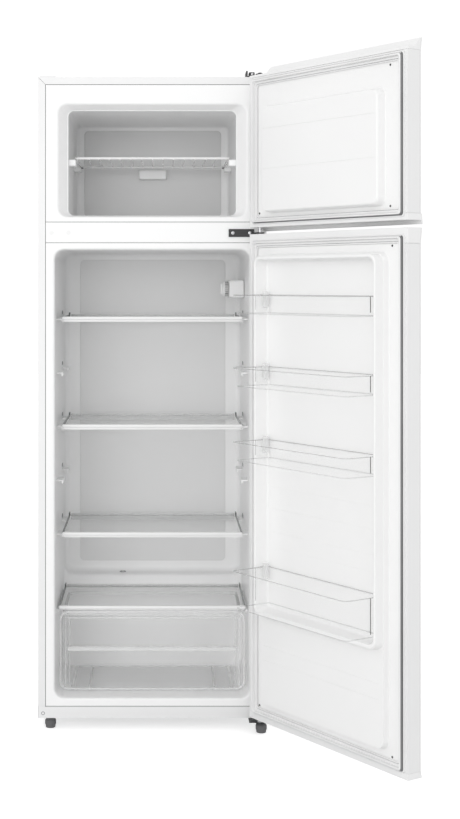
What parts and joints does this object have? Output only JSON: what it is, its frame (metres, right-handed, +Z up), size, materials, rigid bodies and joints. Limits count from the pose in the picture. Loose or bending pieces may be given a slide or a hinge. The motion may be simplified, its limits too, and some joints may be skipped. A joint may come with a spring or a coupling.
{
  "type": "top freezer refrigerator",
  "caption": "Two-door refrigerator with a freezer on top, doors standing open, glass shelves, clear drawer and door bins.",
  "frame": {"origin": "on the floor, under the middle of the whole object's box with both doors open", "axes": "+Z up, -Y out of the cabinet front, +X towards the hinge side"},
  "size_m": [0.8448, 0.9731, 1.592],
  "materials": {
    "white_steel": "satin",
    "zinc_steel": "satin",
    "black_steel": "satin",
    "bright_steel": "satin",
    "white_plastic": "satin",
    "liner_plastic": "gloss",
    "foam": "matte",
    "shelf_glass": "polished",
    "clear_plastic": "gloss",
    "lamp_lens": "satin",
    "coated_wire": "satin",
    "gasket_rubber": "matte",
    "grey_plastic": "matte",
    "black_plastic": "matte",
    "copper": "satin"
  },
  "bodies": {
    "cabinet": {"outer_wrapper": "white_steel", "back_panel": "white_steel", "base_rail": "white_steel", "bottom_panel": "zinc_steel", "base_plate": "zinc_steel", "mullion_bar": "zinc_steel", "top_hinge_bracket": "black_steel", "middle_hinge_bracket": "black_steel", "bottom_hinge_bracket": "black_steel", "compressor": "black_steel", "top_hinge_pin": "bright_steel", "middle_hinge_pin": "bright_steel", "bottom_hinge_pin": "bright_steel", "middle_hinge_screw_1": "bright_steel", "middle_hinge_screw_2": "bright_steel", "thermostat_housing": "white_plastic", "freezer_liner": "liner_plastic", "fridge_liner": "liner_plastic", "mullion_cover": "liner_plastic", "cabinet_foam": "foam", "lamp_lens": "lamp_lens", "rear_foot_left": "grey_plastic", "rear_foot_right": "grey_plastic", "drip_tray": "black_plastic", "compressor_terminal_cover": "black_plastic", "cord_gland": "black_plastic", "condenser_coil": "copper", "evaporator_coil": "copper", "filter_drier": "copper"},
    "front_foot_left": {"front_foot_left": "grey_plastic"},
    "front_foot_right": {"front_foot_right": "grey_plastic"},
    "thermostat_knob": {"thermostat_knob": "white_plastic"},
    "freezer_wire_shelf": {"freezer_wire_shelf": "coated_wire"},
    "shelf_1": {"shelf_1_glass": "shelf_glass", "shelf_1_front_trim": "white_plastic"},
    "shelf_2": {"shelf_2_glass": "shelf_glass", "shelf_2_front_trim": "white_plastic"},
    "shelf_3": {"shelf_3_glass": "shelf_glass", "shelf_3_front_trim": "white_plastic"},
    "crisper_cover": {"crisper_cover_glass": "shelf_glass", "crisper_cover_front_trim": "white_plastic"},
    "crisper_drawer": {"crisper_drawer": "clear_plastic"},
    "freezer_door": {"freezer_door_panel": "white_steel", "freezer_door_top_cap": "white_plastic", "freezer_door_bottom_cap": "white_plastic", "freezer_door_foam": "foam", "freezer_door_liner": "liner_plastic", "freezer_door_gasket": "gasket_rubber"},
    "fridge_door": {"fridge_door_panel": "white_steel", "fridge_door_top_cap": "white_plastic", "fridge_door_bottom_cap": "white_plastic", "fridge_door_foam": "foam", "fridge_door_liner": "liner_plastic", "fridge_door_gasket": "gasket_rubber"},
    "door_bin_1": {"door_bin_1": "clear_plastic"},
    "door_bin_2": {"door_bin_2": "clear_plastic"},
    "door_bin_3": {"door_bin_3": "clear_plastic"},
    "door_bin_4": {"door_bin_4": "clear_plastic"}
  },
  "joints": [
    {"name": "freezer_door_hinge", "type": "hinge", "parent": "cabinet", "child": "freezer_door", "pos_m": [0.1097, -0.0293, 1.38], "axis": [0, 0, 1], "range_deg": [-123.2, 11.8]},
    {"name": "fridge_door_hinge", "type": "hinge", "parent": "cabinet", "child": "fridge_door", "pos_m": [0.1097, -0.0293, 0.62], "axis": [0, 0, 1], "range_deg": [-123.2, 11.8]},
    {"name": "wire_shelf_slide", "type": "slide", "parent": "cabinet", "child": "freezer_wire_shelf", "axis": [0, -1, 0], "range_m": [0, 0.2]},
    {"name": "shelf_1_slide", "type": "slide", "parent": "cabinet", "child": "shelf_1", "axis": [0, -1, 0], "range_m": [0, 0.2]},
    {"name": "shelf_2_slide", "type": "slide", "parent": "cabinet", "child": "shelf_2", "axis": [0, -1, 0], "range_m": [0, 0.2]},
    {"name": "shelf_3_slide", "type": "slide", "parent": "cabinet", "child": "shelf_3", "axis": [0, -1, 0], "range_m": [0, 0.2]},
    {"name": "crisper_cover_slide", "type": "slide", "parent": "cabinet", "child": "crisper_cover", "axis": [0, -1, 0], "range_m": [0, 0.2]},
    {"name": "crisper_drawer_slide", "type": "slide", "parent": "cabinet", "child": "crisper_drawer", "axis": [0, -1, 0], "range_m": [0, 0.22]},
    {"name": "thermostat_turn", "type": "hinge", "parent": "cabinet", "child": "thermostat_knob", "pos_m": [0.0469, 0.245, 1.062], "axis": [-1, 0, 0], "range_deg": [0, 280]},
    {"name": "front_foot_left_turn", "type": "hinge", "parent": "cabinet", "child": "front_foot_left", "pos_m": [-0.3947, 0.03, 0], "axis": [0, 0, 1], "continuous": true},
    {"name": "front_foot_right_turn", "type": "hinge", "parent": "cabinet", "child": "front_foot_right", "pos_m": [0.1134, -0.013, 0], "axis": [0, 0, 1], "continuous": true},
    {"name": "door_bin_1_lift", "type": "slide", "parent": "fridge_door", "child": "door_bin_1", "axis": [0, 0, 1], "range_m": [0, 0.03]},
    {"name": "door_bin_2_lift", "type": "slide", "parent": "fridge_door", "child": "door_bin_2", "axis": [0, 0, 1], "range_m": [0, 0.03]},
    {"name": "door_bin_3_lift", "type": "slide", "parent": "fridge_door", "child": "door_bin_3", "axis": [0, 0, 1], "range_m": [0, 0.03]},
    {"name": "door_bin_4_lift", "type": "slide", "parent": "fridge_door", "child": "door_bin_4", "axis": [0, 0, 1], "range_m": [0, 0.03]}
  ]
}
